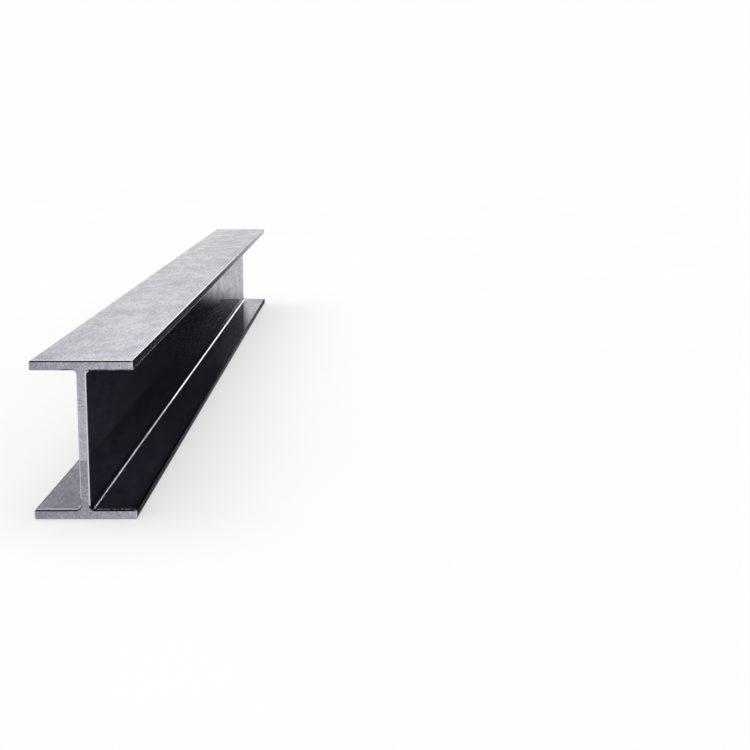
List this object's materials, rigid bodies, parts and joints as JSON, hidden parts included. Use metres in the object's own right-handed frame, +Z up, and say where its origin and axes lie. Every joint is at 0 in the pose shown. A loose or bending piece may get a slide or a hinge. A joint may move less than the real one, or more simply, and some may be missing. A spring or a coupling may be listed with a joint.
{
  "type": "steel h-beam",
  "caption": "Straight rolled steel H-beam with parallel flanges, filleted web roots and square sawn ends, lying on its lower flange.",
  "frame": {"origin": "middle of the lower flange's underside, half way along the beam", "axes": "+Y along the beam, +X across the flanges, +Z up the web"},
  "size_m": [0.102, 1.75, 0.16],
  "materials": {
    "rolled_steel": "rolled and wiped, light lavender grey with a soft cloudy mottle, satin sheen and clean sawn ends"
  },
  "bodies": {
    "root": {"h_beam": "rolled_steel"}
  },
  "joints": []
}
